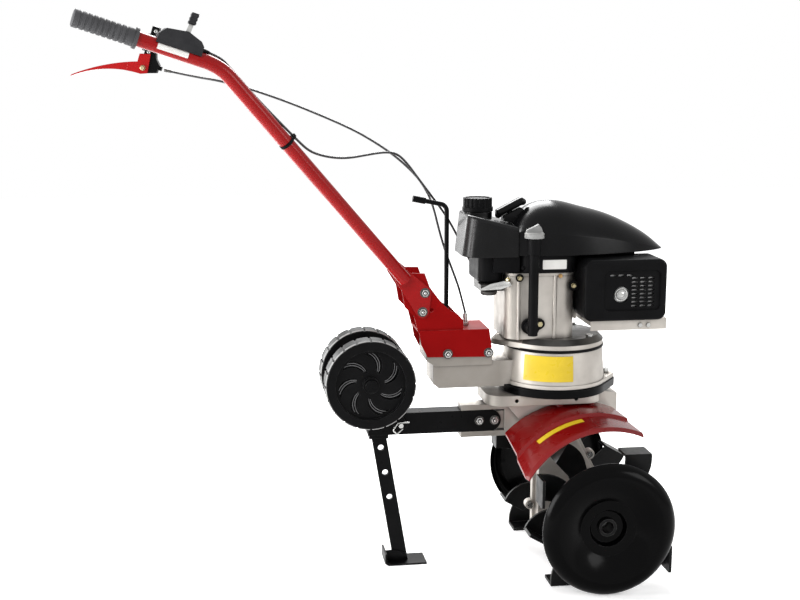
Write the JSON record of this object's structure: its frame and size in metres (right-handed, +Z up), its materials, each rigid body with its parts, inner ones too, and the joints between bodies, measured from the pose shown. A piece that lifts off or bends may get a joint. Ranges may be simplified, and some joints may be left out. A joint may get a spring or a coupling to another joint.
{
  "type": "garden tiller",
  "caption": "Motor tiller with a hoe-tine rotor under a vertical-shaft engine, splayed handlebars with clutch and throttle levers, a depth spur and fold-down transport wheels.",
  "frame": {"origin": "on the ground, at the middle of the machine's length and width", "axes": "+X forward, towards the engine's front, +Y to the machine's left, +Z up"},
  "size_m": [1.2749, 0.5728, 1.1895],
  "materials": {
    "red_paint": "gloss paint",
    "black_paint": "satin paint",
    "black_plastic": "matte moulded plastic",
    "gloss_black": "gloss moulded plastic",
    "grey_plastic": "matte moulded plastic",
    "cast_aluminium": "as cast",
    "zinc": "zinc plated",
    "steel": "machined",
    "bronze": "machined",
    "rubber_black": "ribbed rubber",
    "iron": "as cast"
  },
  "bodies": {
    "chassis": {"shaft_bearings": "steel", "bell_ring": "black_paint", "drawbar": "black_paint", "depth_spur": "black_paint", "clutch_perch": "black_paint", "muffler_guard": "black_paint", "gear_case_screws": "zinc", "cable_adjuster": "zinc", "drawbar_pins": "zinc", "frame_bolts": "zinc", "engine_screws": "zinc", "spark_plug": "zinc", "gear_case_right": "cast_aluminium", "gear_case_left": "cast_aluminium", "bell_housing": "cast_aluminium", "engine_base": "cast_aluminium", "crankcase": "cast_aluminium", "cylinder": "cast_aluminium", "carburettor": "cast_aluminium", "fender_right": "red_paint", "fender_left": "red_paint", "column_bracket": "red_paint", "handlebar_right": "red_paint", "handlebar_left": "red_paint", "grip_right": "rubber_black", "grip_left": "rubber_black", "clutch_cable": "rubber_black", "throttle_cable": "rubber_black", "throttle_housing": "black_plastic", "cable_tie": "black_plastic", "blower_housing": "black_plastic", "oil_filler": "black_plastic", "air_cleaner": "black_plastic", "top_cover": "gloss_black", "fuel_tank": "gloss_black", "muffler": "iron"},
    "crank": {"crankshaft": "steel", "flywheel": "iron"},
    "worm": {"worm_shaft": "steel", "clutch_drum": "iron"},
    "rotor": {"rotor_shaft": "steel", "worm_wheel": "bronze", "tine_hub_right": "black_paint", "tine_hub_left": "black_paint", "tines_right": "black_paint", "tines_left": "black_paint", "tine_bolts": "zinc", "guard_disc_right": "black_paint", "guard_disc_left": "black_paint"},
    "carrier": {"wheel_carrier": "black_paint", "wheel_axle": "zinc"},
    "right_wheel": {"wheel_right": "black_plastic"},
    "left_wheel": {"wheel_left": "black_plastic"},
    "clutch_lever": {"clutch_lever": "red_paint"},
    "throttle": {"throttle_lever": "zinc", "throttle_knob": "black_plastic"},
    "selector": {"selector_rod": "black_paint"},
    "recoil": {"recoil_handle": "black_plastic"},
    "fuel_cap": {"fuel_cap": "black_plastic"},
    "dipstick": {"dipstick": "grey_plastic"}
  },
  "joints": [
    {"name": "rotor_spin", "type": "hinge", "parent": "chassis", "child": "rotor", "pos_m": [0.46, 0, 0.142], "axis": [0, 1, 0], "continuous": true},
    {"name": "worm_spin", "type": "hinge", "parent": "chassis", "child": "worm", "pos_m": [0.4, 0, 0.3], "axis": [0, 0, 1], "continuous": true},
    {"name": "crank_spin", "type": "hinge", "parent": "chassis", "child": "crank", "pos_m": [0.4, 0, 0.6], "axis": [0, 0, 1], "continuous": true},
    {"name": "wheel_carrier_fold", "type": "hinge", "parent": "chassis", "child": "carrier", "pos_m": [0.056, 0, 0.321], "axis": [0, -1, 0], "range_deg": [0, 100]},
    {"name": "wheel_right_spin", "type": "hinge", "parent": "carrier", "child": "right_wheel", "pos_m": [-0.01423, 0, 0.42319], "axis": [0, 1, 0], "continuous": true},
    {"name": "wheel_left_spin", "type": "hinge", "parent": "carrier", "child": "left_wheel", "pos_m": [-0.01423, 0, 0.42319], "axis": [0, 1, 0], "continuous": true},
    {"name": "clutch_squeeze", "type": "hinge", "parent": "chassis", "child": "clutch_lever", "pos_m": [-0.47536, 0.25138, 1.08134], "axis": [0.1802, 0.9836, 0], "range_deg": [0, 28], "stiffness_Nm_per_rad": 3, "springref_deg": -14.32},
    {"name": "throttle_swing", "type": "hinge", "parent": "chassis", "child": "throttle", "pos_m": [-0.37893, -0.23371, 1.13348], "axis": [0.1802, -0.9836, 0], "range_deg": [-30, 32]},
    {"name": "selector_twist", "type": "hinge", "parent": "chassis", "child": "selector", "pos_m": [0.16, 0, 0.65], "axis": [0, 0, 1], "range_deg": [-25, 25]},
    {"name": "recoil_pull", "type": "slide", "parent": "chassis", "child": "recoil", "axis": [0, 0, 1], "range_m": [0, 0.45], "stiffness_N_per_m": 30, "springref_m": -0.3},
    {"name": "fuel_cap_turn", "type": "hinge", "parent": "chassis", "child": "fuel_cap", "pos_m": [0.227, 0, 0.795], "axis": [0, 0, 1], "range_deg": [0, 120]},
    {"name": "dipstick_draw", "type": "slide", "parent": "chassis", "child": "dipstick", "axis": [0, 0, 1], "range_m": [0, 0.14]}
  ],
  "couplings": [
    {"joint": "worm_spin", "follows": "rotor_spin", "ratio": 24}
  ]
}
